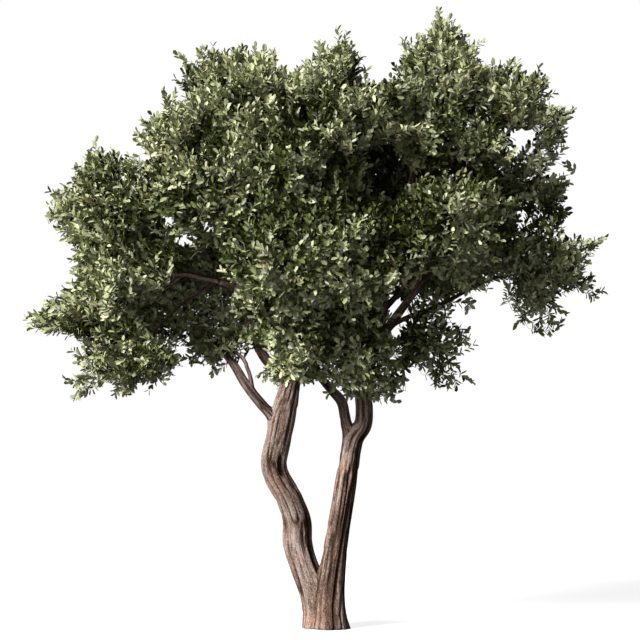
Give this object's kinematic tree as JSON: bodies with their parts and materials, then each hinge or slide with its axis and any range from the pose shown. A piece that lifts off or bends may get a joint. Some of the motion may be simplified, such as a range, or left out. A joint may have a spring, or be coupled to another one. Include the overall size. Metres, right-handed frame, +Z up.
{
  "type": "olive tree",
  "caption": "Broad-crowned olive tree on two leaning stems from one foot, with tapering boughs and uneven masses of small leaves.",
  "frame": {"origin": "middle of the flat cut under the two stems, at ground level", "axes": "+Z up, -Y the front seen in the picture, +X the tree's right in that view"},
  "size_m": [4.17, 3.5275, 4.46],
  "materials": {
    "bark": "deeply grooved grey-brown bark, matt",
    "bough_bark": "smoother dark grey-brown bark, matt",
    "leaves": "small grey-green leaves, slightly glossy"
  },
  "bodies": {
    "root": {"back_left": "leaves", "back_left_limb": "bough_bark", "back_limb": "bough_bark", "back_low": "leaves", "back_low_limb": "bough_bark", "back_mid": "leaves", "back_right": "leaves", "back_right_limb": "bough_bark", "back_top": "leaves", "back_top_limb": "bough_bark", "centre_limb": "bough_bark", "far_limb": "bough_bark", "far_top_right": "leaves", "foot": "bark", "front_hem": "leaves", "front_hem_limb": "bough_bark", "front_high": "leaves", "front_limb": "bough_bark", "front_low": "leaves", "front_right": "leaves", "front_right_limb": "bough_bark", "heart_limb": "bough_bark", "heart_right": "leaves", "hem_prong": "bough_bark", "inner_fork": "bough_bark", "left_arm": "bough_bark", "left_breast": "leaves", "left_breast_limb": "bough_bark", "left_hem": "leaves", "left_high": "leaves", "left_limb": "bough_bark", "left_low": "leaves", "left_shoulder": "leaves", "left_stem_lower": "bark", "left_stem_upper": "bark", "left_under": "leaves", "low_left_bough": "bough_bark", "low_left_fork": "bough_bark", "low_prong": "bough_bark", "low_right_limb": "bough_bark", "mid_breast": "leaves", "mid_breast_limb": "bough_bark", "right_bough": "bough_bark", "right_breast": "leaves", "right_high": "leaves", "right_high_limb": "bough_bark", "right_limb": "bough_bark", "right_low": "leaves", "right_stem": "bark", "right_tip": "leaves", "shoulder_limb": "bough_bark", "tall_limb": "bough_bark", "tip_limb": "bough_bark", "top_left": "leaves", "top_mid": "leaves", "top_right": "leaves", "upper_left_limb": "bough_bark"}
  },
  "joints": []
}
